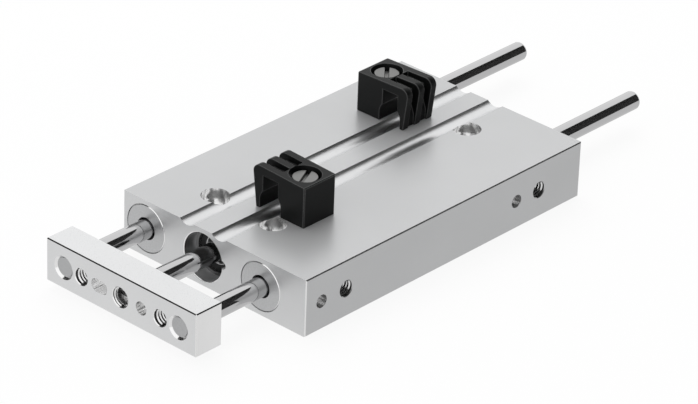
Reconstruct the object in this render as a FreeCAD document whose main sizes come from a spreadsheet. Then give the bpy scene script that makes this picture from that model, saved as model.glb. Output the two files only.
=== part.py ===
import FreeCAD, Part
import math
import os
import re

import Sketcher

# Guided pneumatic cylinder: a flat housing with one small piston between two guide rods, a yoke
# plate that joins the three rods, and two clip brackets for position sensors on the housing.
# Frame, in millimetres: X is the cylinder axis and grows in the direction of extension, with x = 0
# on the housing's front face. Y grows towards the side with the air ports. Z = 0 is the housing's
# underside.

DRIVING = (
    # alias, size, meaning
    ("stroke", 30.0, "travel of the piston"),
    ("extension", 10.0, "how far the rods are out, counted from fully in"),
    ("retracted_gap", 1.3, "gap between yoke plate and housing, fully in"),
    ("rear_reach", 3.2, "guide rod that stays behind the housing, fully out"),
    ("running_clearance", 0.03, "radial clearance of what slides"),
    ("seating_clearance", 0.02, "radial clearance of what is seated"),
    ("guide_rod_diameter", 3.0, "guide rods"),
    ("rod_spacing", 23.0, "between the guide rods' axes"),
    ("piston_rod_diameter", 3.0, "piston rod"),
    ("rod_tip_bevel", 0.3, "bevel on the rear ends of the guide rods"),
    ("bush_diameter", 7.8, "outside of the guide bushings"),
    ("front_bush_length", 8.0, "front guide bushings"),
    ("rear_bush_length", 5.5, "rear guide bushings"),
    ("bush_bevel", 0.2, "bevel on the front bushings' outer rims"),
    ("guide_channel", 4.2, "bore between the bushings, clear of the rod"),
    ("roof_wall", 0.7, "wall above and below the bushings"),
    ("plain_wall", 0.75, "wall beside the bushing, side without ports"),
    ("port_wall", 4.9, "wall beside the bushing, side with the ports"),
    ("edge_bevel", 0.15, "bevel on the housing's outer edges"),
    ("sensor_diameter", 4.0, "round position sensor that the seats are made for"),
    ("sensor_clearance", 0.05, "radial clearance of the sensor in its seat"),
    ("seat_offset", 3.2, "sensor seat from the middle plane"),
    ("seat_depth", 0.6, "depth of the sensor seats in the housing"),
    ("bore_diameter", 6.0, "cylinder bore, the piston's nominal size"),
    ("cap_diameter", 7.6, "seat of the end caps"),
    ("front_cap_length", 7.2, "bearing cap"),
    ("rear_cap_length", 4.0, "rear end cap"),
    ("front_recess", 2.5, "recess in front of the front retaining ring"),
    ("rear_recess", 1.8, "recess behind the rear retaining ring"),
    ("ring_thickness", 0.7, "retaining rings"),
    ("ring_groove", 0.3, "depth of the retaining rings' grooves"),
    ("ring_cover", 0.5, "how far a retaining ring stands into its bore"),
    ("ring_opening", 40.0, "degrees left open between a retaining ring's ends"),
    ("notch_radius", 0.6, "notch for prising out the front retaining ring"),
    ("cap_lip", 0.6, "lip in front of the rod's bearing bush"),
    ("cap_mouth", 0.3, "radial gap between the cap's lip and the rod"),
    ("bearing_diameter", 4.6, "outside of the rod's bearing bush"),
    ("rod_seal_diameter", 5.4, "outside of the rod seal"),
    ("rod_seal_length", 1.8, "rod seal"),
    ("piston_length", 12.6, "both piston halves and the magnet"),
    ("magnet_width", 2.0, "piston magnet"),
    ("magnet_diameter", 5.4, "outside of the piston magnet"),
    ("piston_seal_width", 1.4, "piston seals, beside the magnet"),
    ("piston_seal_depth", 0.8, "depth of the piston seals' seats"),
    ("tail_diameter", 2.0, "rod's tail inside the piston"),
    ("nut_flats", 3.4, "piston nut across its flats"),
    ("nut_height", 1.2, "piston nut"),
    ("nut_recess", 0.3, "how deep the piston nut sits below the piston's face"),
    ("nut_room", 0.25, "radial room round the piston nut"),
    ("mount_front_inset", 8.35, "front mounting holes and port from the front face"),
    ("mount_rear_inset", 9.35, "rear mounting holes and port from the rear face"),
    ("mount_spread", 11.6, "between the left and right mounting holes"),
    ("mount_bore", 2.6, "mounting holes"),
    ("mount_counterbore", 4.3, "counterbore of the mounting holes"),
    ("mount_counterbore_depth", 2.2, "depth of the counterbores"),
    ("port_core", 2.5, "core of the M3 port threads"),
    ("port_depth", 3.8, "depth of the ports"),
    ("locating_bore", 2.1, "locating holes beside the ports"),
    ("locating_depth", 3.0, "depth of the locating holes"),
    ("locating_offset", 5.1, "locating hole in front of its port"),
    ("mouth_bevel", 0.12, "bevel on the mouths of small holes"),
    ("plate_thickness", 5.1, "yoke plate"),
    ("plate_height", 6.95, "yoke plate"),
    ("plate_rise", 0.075, "yoke plate's middle above the rods' axes"),
    ("plate_end", 3.5, "yoke plate beyond each guide rod's axis"),
    ("plate_bevel", 0.15, "bevel on the yoke plate's edges"),
    ("rod_seat_bevel", 0.35, "bevel on the mouths of the rods' holes"),
    ("guide_rod_recess", 0.3, "guide rod's front end below the plate's face"),
    ("yoke_thread_core", 2.5, "core of the yoke plate's M3 threads"),
    ("yoke_thread_inset", 3.6, "yoke plate's M3 threads from the guide rods' axes"),
    ("yoke_pin_share", 0.532, "locating hole and slot, as a share of the threads' place"),
    ("yoke_pin_bore", 2.1, "locating hole and slot in the yoke plate"),
    ("yoke_slot_travel", 1.1, "extra length of the locating slot"),
    ("rod_insert", 2.6, "how far the piston rod goes into the yoke plate"),
    ("yoke_screw_length", 1.7, "set screw in front of the piston rod"),
    ("driver_slot_width", 0.65, "screwdriver slots"),
    ("driver_slot_depth", 0.6, "screwdriver slots"),
    ("bracket_inset", 13.6, "sensor brackets from the housing's end faces"),
    ("bracket_width", 6.5, "sensor bracket along the housing"),
    ("bracket_height", 6.5, "sensor bracket above the housing, at its outer side"),
    ("bracket_rise", 0.35, "how much higher the bracket is at its fins"),
    ("bracket_outer", 9.85, "sensor bracket's outer side from the middle plane"),
    ("bracket_nose", 0.25, "how far the fins reach past the middle plane"),
    ("bracket_nose_radius", 1.2, "rounding of the fins' upper tips"),
    ("bracket_foot", 0.45, "feet of the fins from the middle plane"),
    ("bracket_edge", 0.15, "bevel on the bracket's outer edges"),
    ("channel_neck", 3.0, "width of the bracket's channel above the sensor"),
    ("channel_height", 5.4, "height of the bracket's channel"),
    ("fin_count", 3, "fins of a sensor bracket"),
    ("fin_thickness", 1.2, "fins of a sensor bracket"),
    ("fin_root", 4.5, "where the grooves between the fins end"),
    ("fin_web", 0.4, "wall between the channel and the grooves"),
    ("bracket_screw_offset", 6.9, "bracket screw from the middle plane"),
    ("bracket_screw_bore", 2.3, "hole for the bracket screw"),
    ("bracket_counterbore", 4.85, "counterbore for the bracket screw's head"),
    ("screw_diameter", 2.0, "bracket screw's shank"),
    ("screw_head_diameter", 3.8, "bracket screw's head"),
    ("screw_head_height", 1.3, "bracket screw's head"),
    ("screw_head_recess", 0.4, "bracket screw's head below the bracket's top"),
    ("screw_grip", 4.0, "length of the bracket screw in the housing"),
    ("screw_hole_spare", 0.5, "depth of the screw hole below the screw"),
    ("front_screw_turn", 25.6, "degrees that the front screw's slot is turned"),
    ("rear_screw_turn", 41.3, "degrees that the rear screw's slot is turned"),
)

DERIVED = {
    "body_height": "bush_diameter + 2 * roof_wall",
    "axis_height": "body_height / 2",
    "plain_side": "rod_spacing / 2 + bush_diameter / 2 + plain_wall",
    "port_side": "rod_spacing / 2 + bush_diameter / 2 + port_wall",
    "front_ring_back": "front_recess + ring_thickness",
    "chamber_front": "front_ring_back + front_cap_length",
    "chamber_rear": "chamber_front + stroke + piston_length",
    "rear_cap_back": "chamber_rear + rear_cap_length",
    "rear_ring_back": "rear_cap_back + ring_thickness",
    "body_length": "rear_ring_back + rear_recess",
    "front_holes": "mount_front_inset",
    "rear_holes": "body_length - mount_rear_inset",
    "piston_back": "chamber_rear - extension",
    "piston_front": "piston_back - piston_length",
    "plate_back": "retracted_gap + extension",
    "plate_front": "plate_back + plate_thickness",
    "guide_rod_front": "plate_front - guide_rod_recess",
    "guide_rod_back": "body_length + rear_reach + stroke - extension",
    "guide_rod_radius": "guide_rod_diameter / 2",
    "piston_rod_radius": "piston_rod_diameter / 2",
    "cap_radius": "cap_diameter / 2",
    "bore_radius": "bore_diameter / 2",
    "tail_radius": "tail_diameter / 2",
    "half_length": "(piston_length - magnet_width) / 2",
    "seal_floor": "bore_radius - piston_seal_depth",
    "seat_radius": "sensor_diameter / 2 + sensor_clearance",
    "seat_lift": "seat_radius - seat_depth",
    "seat_chord": "sqrt(seat_radius ^ 2 - seat_lift ^ 2)",
    "fin_gap": "(bracket_width - fin_count * fin_thickness) / (fin_count - 1)",
    "bracket_slope": "bracket_rise / (bracket_outer + bracket_nose)",
    "bracket_at_screw": "bracket_height + bracket_slope * (bracket_outer - bracket_screw_offset)",
    "screw_seat": "bracket_at_screw - screw_head_recess - screw_head_height",
    "neck_lift": "seat_lift + sqrt(seat_radius ^ 2 - channel_neck ^ 2 / 4)",
    "nut_pocket": "nut_height + nut_recess",
    "yoke_thread_place": "rod_spacing / 2 - yoke_thread_inset",
    "yoke_pin_place": "yoke_pin_share * yoke_thread_place",
}

SMALLEST_CUT = 1e-4  # cubic millimetres

DRIVING_NAMES = {alias for alias, size, meaning in DRIVING}

doc = FreeCAD.newDocument("GuidedCylinder")
sheet = doc.addObject("Spreadsheet::Sheet", "Sizes")
for row, (alias, size, meaning) in enumerate(DRIVING, 1):
    sheet.set(f"A{row}", meaning)
    sheet.set(f"B{row}", str(size))
    sheet.setAlias(f"B{row}", alias)
doc.recompute()


def formula(text):
    """Spell a formula out in the sheet's cells, with derived sizes worked out in place."""
    def spell(match):
        word = match.group()
        if word in DERIVED:
            return "(" + formula(DERIVED[word]) + ")"
        return "Sizes." + word if word in DRIVING_NAMES else word
    return re.sub(r"[a-z][a-z_]+", spell, text)


def number(text):
    """The present value of a formula."""
    return float(sheet.evalExpression(formula(text)))


def bind(thing, **formulas):
    """Tie properties of an object to formulas; a double underscore stands for a point."""
    for name, text in formulas.items():
        thing.setExpression(name.replace("__", "."), formula(text))


def new_body(label, x="0", y="0", z="0", turn="0"):
    """A PartDesign body at a place given by formulas, turned about Z."""
    body = doc.addObject("PartDesign::Body", label)
    body.Label = label
    body.Placement = FreeCAD.Placement(
        FreeCAD.Vector(number(x), number(y), number(z)),
        FreeCAD.Rotation(FreeCAD.Vector(0, 0, 1), number(turn)))
    bind(body, Placement__Base__x=x, Placement__Base__y=y, Placement__Base__z=z,
         Placement__Rotation__Angle=turn)
    return body


def new_sketch(body, name, plane, offset=("0", "0", "0")):
    """A sketch on one of the body's origin planes, moved in the plane's own directions."""
    sketch = body.newObject("Sketcher::SketchObject", name)
    support = next(item for item in body.Origin.OriginFeatures if item.Role == plane)
    sketch.AttachmentSupport = [(support, "")]
    sketch.MapMode = "FlatFace"
    bind(sketch, AttachmentOffset__Base__x=offset[0], AttachmentOffset__Base__y=offset[1],
         AttachmentOffset__Base__z=offset[2])
    return sketch


def dimension(sketch, kind, places, text):
    """Add a dimension that follows a formula."""
    index = sketch.addConstraint(Sketcher.Constraint(kind, *places, number(text)))
    sketch.setExpression(f"Constraints[{index}]", formula(text))


def pin(sketch, item, point, across, up):
    """Hold a point of a sketch at a place given by two formulas."""
    for kind, text in (("DistanceX", across), ("DistanceY", up)):
        dimension(sketch, kind, (-1, 1, item, point), text)


def draw_outline(sketch, corners):
    """Draw a closed outline. A corner is (across, up), or (across, up, arc) where the edge that
    leaves it is an arc: arc is then (across, up, radius), a point on the arc and its radius."""
    spots = [FreeCAD.Vector(number(corner[0]), number(corner[1]), 0) for corner in corners]
    ends = []
    for corner, start, end in zip(corners, spots, spots[1:] + spots[:1]):
        if len(corner) == 2:
            item = sketch.addGeometry(Part.LineSegment(start, end), False)
            ends.append((item, 1, 2))
            continue
        across, up, radius = corner[2]
        middle = FreeCAD.Vector(number(across), number(up), 0)
        item = sketch.addGeometry(Part.Arc(start, middle, end), False)
        forward = sketch.getPoint(item, 1).distanceToPoint(start) < 1e-6
        ends.append((item, 1, 2) if forward else (item, 2, 1))
        dimension(sketch, "Radius", (item,), radius)
    for (item, first, last), (following, start, end) in zip(ends, ends[1:] + ends[:1]):
        sketch.addConstraint(Sketcher.Constraint("Coincident", item, last, following, start))
    for corner, (item, first, last) in zip(corners, ends):
        pin(sketch, item, first, corner[0], corner[1])


def draw_circles(sketch, spots, diameter):
    """Draw one circle at each spot, a pair of formulas."""
    for across, up in spots:
        middle = FreeCAD.Vector(number(across), number(up), 0)
        item = sketch.addGeometry(
            Part.Circle(middle, FreeCAD.Vector(0, 0, 1), number(diameter) / 2), False)
        dimension(sketch, "Diameter", (item,), diameter)
        pin(sketch, item, 3, across, up)


def pocket(body, sketch, depth, reverse=False):
    """Cut a sketch's outline into the body, away from the sketch's normal."""
    cut = body.newObject("PartDesign::Pocket", sketch.Name + "_cut")
    cut.Profile = sketch
    cut.Reversed = reverse
    bind(cut, Length=depth)
    return cut


def drill(body, name, plane, offset, spots, diameter, depth, reverse=False):
    """Cut round holes that start on a plane."""
    sketch = new_sketch(body, name, plane, offset)
    draw_circles(sketch, spots, diameter)
    return pocket(body, sketch, depth, reverse)


def turn_profile(body, name, corners, feature="PartDesign::Revolution", offset=("0", "0", "0")):
    """Turn an outline, given as distance along X and radius, about X."""
    sketch = new_sketch(body, name, "XY_Plane", offset)
    draw_outline(sketch, corners)
    turned = body.newObject(feature, name + "_turned")
    turned.Profile = sketch
    turned.ReferenceAxis = (sketch, ["H_Axis"])
    turned.Angle = 360.0
    return turned


def dress_edges(body, kind, name, size, wanted):
    """Bevel or round each edge of the body's last feature that is wanted."""
    doc.recompute()
    base = body.Tip
    edges = [f"Edge{place}" for place, edge in enumerate(base.Shape.Edges, 1) if wanted(edge)]
    dressing = body.newObject("PartDesign::" + kind, name)
    dressing.Base = (base, edges)
    bind(dressing, **{"Size" if kind == "Chamfer" else "Radius": size})
    return dressing


def close(first, second):
    """Whether two sizes are the same."""
    return math.isclose(first, second, abs_tol=1e-4)


def ring_edge(edge, axis, place, diameter):
    """Whether an edge is a full circle of a diameter in a plane across an axis."""
    if not isinstance(edge.Curve, Part.Circle) or len(edge.Vertexes) != 1:
        return False
    along = "XYZ".index(axis)
    flat = close(abs(edge.Curve.Axis[along]), 1)
    return (flat and close(edge.Curve.Center[along], number(place))
            and close(edge.Curve.Radius * 2, number(diameter)))


def turned_ring(label, x, y, length, outer, inner):
    """A plain turned ring on one of the rods' axes."""
    body = new_body(label, x=x, y=y, z="axis_height")
    back = f"-({length})"
    turn_profile(body, label + "_profile",
                 (("0", inner), (back, inner), (back, outer), ("0", outer)))
    return body


def housing_profile(body):
    """The flat bar with its two round-bottomed sensor seats along the top."""
    top = "body_height"
    bevel = "edge_bevel"
    left, right = "-plain_side", "port_side"
    corners = [(f"{left} + {bevel}", "0"), (f"{right} - {bevel}", "0"), (right, bevel),
               (right, f"{top} - {bevel}"), (f"{right} - {bevel}", top)]
    for middle in ("seat_offset", "-seat_offset"):
        corners.append((f"{middle} + seat_chord", top,
                        (middle, f"{top} - seat_depth", "seat_radius")))
        corners.append((f"{middle} - seat_chord", top))
    corners += [(f"{left} + {bevel}", top), (left, f"{top} - {bevel}"), (left, bevel)]
    sketch = new_sketch(body, "housing_profile", "YZ_Plane")
    draw_outline(sketch, corners)
    bar = body.newObject("PartDesign::Pad", "housing_bar")
    bar.Profile = sketch
    bar.Reversed = True
    bind(bar, Length="body_length")


def housing_bores(body):
    """The stepped cylinder bore and the two stepped guide bores."""
    seat, bore = "cap_radius", "bore_radius"
    groove = "cap_radius + ring_groove"
    steps = (("0", seat), ("-front_recess", seat), ("-front_recess", groove),
             ("-front_ring_back", groove), ("-front_ring_back", seat), ("-chamber_front", seat),
             ("-chamber_front", bore), ("-chamber_rear", bore), ("-chamber_rear", seat),
             ("-rear_cap_back", seat), ("-rear_cap_back", groove), ("-rear_ring_back", groove),
             ("-rear_ring_back", seat), ("-body_length", seat))
    turn_profile(body, "cylinder_bore", (("0", "0"),) + steps + (("-body_length", "0"),),
                 "PartDesign::Groove", ("0", "0", "axis_height"))
    seat, channel = "bush_diameter / 2", "guide_channel / 2"
    steps = (("0", "0"), ("0", seat), ("-front_bush_length", seat),
             ("-front_bush_length", channel), ("rear_bush_length - body_length", channel),
             ("rear_bush_length - body_length", seat), ("-body_length", seat),
             ("-body_length", "0"))
    for side, across in (("left", "-rod_spacing / 2"), ("right", "rod_spacing / 2")):
        turn_profile(body, f"guide_bore_{side}", steps, "PartDesign::Groove",
                     ("0", across, "axis_height"))


def housing_holes(body):
    """Mounting holes, ports, locating holes and tapped bracket holes."""
    rows = ("front_holes", "rear_holes")
    spots = [(f"-{row}", f"{side}mount_spread / 2") for row in rows for side in ("", "-")]
    top = ("0", "0", "body_height")
    drill(body, "mounting_holes", "XY_Plane", top, spots, "mount_bore", "body_height")
    drill(body, "counterbores", "XY_Plane", top, spots, "mount_counterbore",
          "mount_counterbore_depth")
    spots = (("-bracket_inset", "bracket_screw_offset"),
             ("bracket_inset - body_length", "-bracket_screw_offset"))
    drill(body, "bracket_threads", "XY_Plane", top, spots,
          "screw_diameter + 2 * seating_clearance", "screw_grip + screw_hole_spare")
    port_face = ("0", "0", "-port_side")
    spots = [(f"-{row}", "axis_height") for row in rows]
    drill(body, "ports", "XZ_Plane", port_face, spots, "port_core", "port_depth", True)
    spots = [(f"locating_offset - {row}", "axis_height") for row in rows]
    drill(body, "locating_holes", "XZ_Plane", port_face, spots, "locating_bore",
          "locating_depth", True)


def make_housing():
    """The housing: one bar with all its bores."""
    body = new_body("housing")
    housing_profile(body)
    faces = [number(text) for text in ("0", "-body_length")]
    sides = [number(text) for text in ("-plain_side", "port_side")]

    def corner_edge(edge):
        middle = edge.CenterOfMass
        upright = close(edge.Vertexes[0].X, edge.Vertexes[-1].X) and close(
            edge.Vertexes[0].Y, edge.Vertexes[-1].Y)
        return (upright and any(close(middle.x, face) for face in faces)
                and any(close(middle.y, side) for side in sides))

    dress_edges(body, "Chamfer", "corner_bevels", "edge_bevel", corner_edge)
    housing_bores(body)
    housing_holes(body)

    def mouth(edge):
        return (ring_edge(edge, "Y", "port_side", "port_core")
                or ring_edge(edge, "X", "0", "cap_diameter"))

    dress_edges(body, "Chamfer", "mouth_bevels", "mouth_bevel", mouth)
    sketch = new_sketch(body, "prising_notch", "YZ_Plane")
    draw_circles(sketch, [("cap_radius + notch_radius / 3", "axis_height + notch_radius / 2")],
                 "2 * notch_radius")
    pocket(body, sketch, "front_ring_back")


def make_bushings():
    """The four guide bushings, flush with the housing's end faces."""
    outer = "bush_diameter / 2 - seating_clearance"
    inner = "guide_rod_radius + running_clearance"
    for side, across in (("left", "-rod_spacing / 2"), ("right", "rod_spacing / 2")):
        front = turned_ring(f"front_bushing_{side}", "0", across, "front_bush_length", outer,
                            inner)
        dress_edges(front, "Chamfer", f"front_rim_{side}", "bush_bevel",
                    lambda edge: ring_edge(edge, "X", "0", f"2 * ({outer})"))
        turned_ring(f"rear_bushing_{side}", "rear_bush_length - body_length", across,
                    "rear_bush_length", outer, inner)


def make_guide_rods():
    """The two guide rods, from the yoke plate through the housing."""
    tip = "rod_tip_bevel"
    back = "-(guide_rod_front + guide_rod_back)"
    for side, across in (("left", "-rod_spacing / 2"), ("right", "rod_spacing / 2")):
        body = new_body(f"guide_rod_{side}", x="guide_rod_front", y=across, z="axis_height")
        turn_profile(body, f"rod_{side}", (
            ("0", "0"), ("0", "guide_rod_radius"), (f"{back} + {tip}", "guide_rod_radius"), (back, f"guide_rod_radius - {tip}"),
            (back, "0")))


def make_piston_rod():
    """The piston rod, with a thin tail that carries the piston."""
    front = "plate_back + rod_insert"
    shoulder = f"-({front} + piston_front)"
    tail = f"-({front} + piston_back - nut_recess / 2)"
    body = new_body("piston_rod", x=front, z="axis_height")
    turn_profile(body, "rod", (
        ("0", "0"), ("0", "piston_rod_radius"), (shoulder, "piston_rod_radius"),
        (shoulder, "tail_radius"), (tail, "tail_radius"), (tail, "0")))


def make_piston():
    """Two piston halves with a magnet between them, a seal on each half and a nut."""
    outer = "bore_radius - running_clearance"
    inner = "tail_radius + seating_clearance"
    far = "-half_length"
    seat = "half_length - piston_seal_width"
    front = new_body("piston_front_half", x="-piston_front", z="axis_height")
    turn_profile(front, "front_half", (
        ("0", inner), (far, inner), (far, "seal_floor"), (f"-({seat})", "seal_floor"),
        (f"-({seat})", outer), ("0", outer)))
    rear_start = "-(piston_front + half_length + magnet_width)"
    rear = new_body("piston_rear_half", x=rear_start, z="axis_height")
    pocket_radius = "nut_flats / sqrt(3) + nut_room"
    turn_profile(rear, "rear_half", (
        ("0", inner), (f"nut_pocket {far}", inner), (f"nut_pocket {far}", pocket_radius),
        (far, pocket_radius), (far, outer), ("-piston_seal_width", outer),
        ("-piston_seal_width", "seal_floor"), ("0", "seal_floor")))
    turned_ring("piston_magnet", "-(piston_front + half_length)", "0", "magnet_width",
                "magnet_diameter / 2", inner)
    for end, start in (("front", f"-(piston_front + {seat})"), ("rear", rear_start)):
        turned_ring(f"piston_seal_{end}", f"{start} - seating_clearance", "0",
                    "piston_seal_width - 2 * seating_clearance", outer,
                    "seal_floor + seating_clearance")
    nut = doc.addObject("Part::Prism", "nut_hexagon")
    nut.Polygon = 6
    bind(nut, Circumradius="nut_flats / sqrt(3)", Height="nut_height")
    bore = doc.addObject("Part::Cylinder", "nut_bore")
    bind(bore, Radius=inner, Height="nut_height")
    ring = doc.addObject("Part::Cut", "piston_nut")
    ring.Base = nut
    ring.Tool = bore
    ring.Placement = FreeCAD.Placement(
        FreeCAD.Vector(number("nut_recess - piston_back"), 0, number("axis_height")),
        FreeCAD.Rotation(FreeCAD.Vector(0, 1, 0), 90))
    bind(ring, Placement__Base__x="nut_recess - piston_back", Placement__Base__z="axis_height")


def retaining_ring(label, front):
    """An open ring in a groove of the housing."""
    body = new_body(label, x=front, z="axis_height")
    outer = "cap_radius + ring_groove - seating_clearance"
    inner = "cap_radius - ring_cover"
    turned = turn_profile(body, label + "_profile", (
        ("0", inner), ("-ring_thickness", inner), ("-ring_thickness", outer), ("0", outer)))
    bind(turned, Angle="360 - ring_opening")


def make_front_cap():
    """The bearing cap with its bush and rod seal, and the ring that holds it."""
    shaft = "piston_rod_radius + running_clearance"
    bush, seal = "bearing_diameter / 2", "rod_seal_diameter / 2"
    seal_front = "-(front_cap_length - rod_seal_length)"
    mouth = "piston_rod_radius + cap_mouth"
    outer = "cap_radius - seating_clearance"
    cap = new_body("bearing_cap", x="-front_ring_back", z="axis_height")
    turn_profile(cap, "bearing_cap_profile", (
        ("0", mouth), ("-cap_lip", mouth), ("-cap_lip", bush), (seal_front, bush),
        (seal_front, seal), ("-front_cap_length", seal), ("-front_cap_length", outer),
        ("0", outer)))
    turned_ring("rod_bearing", "-front_ring_back - cap_lip", "0",
                "front_cap_length - rod_seal_length - cap_lip",
                f"{bush} - seating_clearance", shaft)
    turned_ring("rod_seal", f"-front_ring_back {seal_front}", "0", "rod_seal_length",
                f"{seal} - seating_clearance", shaft)
    retaining_ring("front_retaining_ring", "-front_recess")


def make_rear_cap():
    """The closed rear cap and the ring that holds it."""
    outer = "cap_radius - seating_clearance"
    cap = new_body("rear_end_cap", x="-chamber_rear", z="axis_height")
    turn_profile(cap, "rear_cap_profile", (
        ("0", "0"), ("-rear_cap_length", "0"), ("-rear_cap_length", outer), ("0", outer)))
    retaining_ring("rear_retaining_ring", "-rear_cap_back")


def make_yoke_plate():
    """The plate that joins the three rods and carries the load's threads."""
    body = new_body("yoke_plate", x="plate_back")
    half = "(rod_spacing / 2 + plate_end)"
    low = "axis_height + plate_rise - plate_height / 2"
    high = "axis_height + plate_rise + plate_height / 2"
    sketch = new_sketch(body, "plate_outline", "YZ_Plane")
    draw_outline(sketch, ((f"-{half}", low), (half, low), (half, high), (f"-{half}", high)))
    pad = body.newObject("PartDesign::Pad", "plate_block")
    pad.Profile = sketch
    bind(pad, Length="plate_thickness")
    dress_edges(body, "Chamfer", "plate_bevels", "plate_bevel", lambda edge: True)
    face = ("0", "0", "plate_thickness")
    rods = [(f"{side}rod_spacing / 2", "axis_height") for side in ("", "-")]
    threads = [(f"{side}yoke_thread_place", "axis_height") for side in ("", "-")]
    rod_hole = "guide_rod_diameter + 2 * seating_clearance"
    drill(body, "rod_holes", "YZ_Plane", face, rods, rod_hole, "plate_thickness")
    drill(body, "yoke_threads", "YZ_Plane", face, threads, "yoke_thread_core",
          "plate_thickness")
    centre = "piston_rod_diameter + 2 * seating_clearance"
    drill(body, "centre_thread", "YZ_Plane", face, [("0", "axis_height")], centre,
          "plate_thickness")
    middle, reach = "-yoke_pin_place", "yoke_slot_travel / 2"
    pins = [("yoke_pin_place", "axis_height"), (f"{middle} - {reach}", "axis_height"),
            (f"{middle} + {reach}", "axis_height")]
    drill(body, "pin_holes", "YZ_Plane", face, pins[:2], "yoke_pin_bore", "plate_thickness")
    drill(body, "pin_slot_end", "YZ_Plane", face, pins[2:], "yoke_pin_bore", "plate_thickness")
    low, high = "axis_height - yoke_pin_bore / 2", "axis_height + yoke_pin_bore / 2"
    slot = new_sketch(body, "pin_slot", "YZ_Plane", face)
    draw_outline(slot, ((f"{middle} - {reach}", low), (f"{middle} + {reach}", low),
                        (f"{middle} + {reach}", high), (f"{middle} - {reach}", high)))
    pocket(body, slot, "plate_thickness")

    def rod_mouth(edge):
        off_centre = close(abs(edge.CenterOfMass.y), number("rod_spacing / 2"))
        return off_centre and ring_edge(edge, "X", "plate_thickness", rod_hole)

    def small_mouth(edge):
        return any(ring_edge(edge, "X", "plate_thickness", bore)
                   for bore in ("yoke_thread_core", centre))

    dress_edges(body, "Chamfer", "rod_seat_bevels", "rod_seat_bevel", rod_mouth)
    dress_edges(body, "Chamfer", "small_mouth_bevels", "mouth_bevel", small_mouth)


def driver_slot(body, name, plane, face, radius):
    """A screwdriver slot across a screw's face."""
    sketch = new_sketch(body, name, plane, ("0", "0", face))
    half = "driver_slot_width / 2"
    reach = f"({radius} + driver_slot_width)"
    draw_outline(sketch, ((f"-{reach}", f"-{half}"), (reach, f"-{half}"), (reach, half),
                          (f"-{reach}", half)))
    pocket(body, sketch, "driver_slot_depth")


def make_yoke_screw():
    """The slotted set screw that locks the piston rod in the yoke plate."""
    body = new_body("yoke_set_screw", x="plate_back + rod_insert", z="axis_height")
    radius = "piston_rod_radius"
    turn_profile(body, "yoke_screw", (
        ("0", "0"), ("yoke_screw_length", "0"), ("yoke_screw_length", radius), ("0", radius)))
    driver_slot(body, "yoke_screw_slot", "YZ_Plane", "yoke_screw_length", radius)


def make_bracket(label, inset, turn):
    """A clip bracket: a block that is screwed down, and a ribbed arch over the sensor."""
    body = new_body(label, x=inset, z="body_height", turn=turn)
    tip = "bracket_height + bracket_rise"
    round_start = "bracket_nose_radius - bracket_nose"
    middle = "seat_offset"
    shoulder = f"{tip} - bracket_nose_radius"
    knee = "bracket_nose_radius * (1 - sqrt(0.5))"
    bend = "(seat_radius * sin(60))"
    arch = (f"{middle} - {bend}", "seat_lift + seat_radius / 2")
    sketch = new_sketch(body, label + "_profile", "YZ_Plane")
    draw_outline(sketch, (
        (f"{middle} + seat_radius", "0"), ("bracket_outer", "0"),
        ("bracket_outer", "bracket_height"),
        (round_start, tip, (f"{knee} - bracket_nose", f"{tip} - {knee}", "bracket_nose_radius")),
        ("-bracket_nose", shoulder), ("bracket_foot", "0"), (f"{middle} - seat_radius", "0"),
        (f"{middle} - seat_radius", "seat_lift",
         (arch[0], arch[1], "seat_radius")),
        (f"{middle} - channel_neck / 2", "neck_lift"),
        (f"{middle} - channel_neck / 2", "channel_height"),
        (f"{middle} + channel_neck / 2", "channel_height"),
        (f"{middle} + channel_neck / 2", "neck_lift",
         (f"{middle} + {bend}", arch[1], "seat_radius")),
        (f"{middle} + seat_radius", "seat_lift")))
    pad = body.newObject("PartDesign::Pad", label + "_block")
    pad.Profile = sketch
    pad.SideType = "Symmetric"
    bind(pad, Length="bracket_width")
    outer = number("bracket_outer")
    dress_edges(body, "Chamfer", label + "_edges", "bracket_edge",
                lambda edge: all(close(corner.Y, outer) for corner in edge.Vertexes)
                and edge.CenterOfMass.z > 0.1)
    beyond = "-bracket_nose - 1"
    low_wall = f"{middle} - seat_radius - fin_web"
    high_wall = f"{middle} - channel_neck / 2 - fin_web"
    for place in range(int(number("fin_count")) - 1):
        start = f"-bracket_width / 2 + fin_thickness + {place} * (fin_thickness + fin_gap)"
        groove = new_sketch(body, f"{label}_groove_{place}", "YZ_Plane", ("0", "0", start))
        draw_outline(groove, (
            (beyond, "0"), (low_wall, "0"), (low_wall, "seat_lift + fin_web"),
            (high_wall, "neck_lift + fin_web"), (high_wall, "channel_height + fin_web"),
            ("fin_root", "channel_height + fin_web"), ("fin_root", tip), (beyond, tip)))
        pocket(body, groove, "fin_gap", reverse=True)
    spot = [("0", "bracket_screw_offset")]
    drill(body, label + "_screw_hole", "XY_Plane", ("0", "0", "screw_seat"), spot,
          "bracket_screw_bore", "screw_seat")
    drill(body, label + "_counterbore", "XY_Plane", ("0", "0", "screw_seat"), spot,
          "bracket_counterbore", tip, reverse=True)


def make_bracket_screw(label, x, y, turn):
    """The slotted screw that holds a sensor bracket, standing on its head's seat."""
    body = new_body(label, x, y, "body_height + screw_seat", turn)
    shank, head = "screw_diameter / 2", "screw_head_diameter / 2"
    tip = "-(screw_seat + screw_grip)"
    sketch = new_sketch(body, label + "_half", "XZ_Plane")
    draw_outline(sketch, (
        ("0", tip), (shank, tip), (shank, "0"), (head, "0"), (head, "screw_head_height"),
        ("0", "screw_head_height")))
    turned = body.newObject("PartDesign::Revolution", label + "_turned")
    turned.Profile = sketch
    turned.ReferenceAxis = (sketch, ["V_Axis"])
    turned.Angle = 360.0
    driver_slot(body, label + "_slot", "XY_Plane", "screw_head_height", head)


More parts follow.
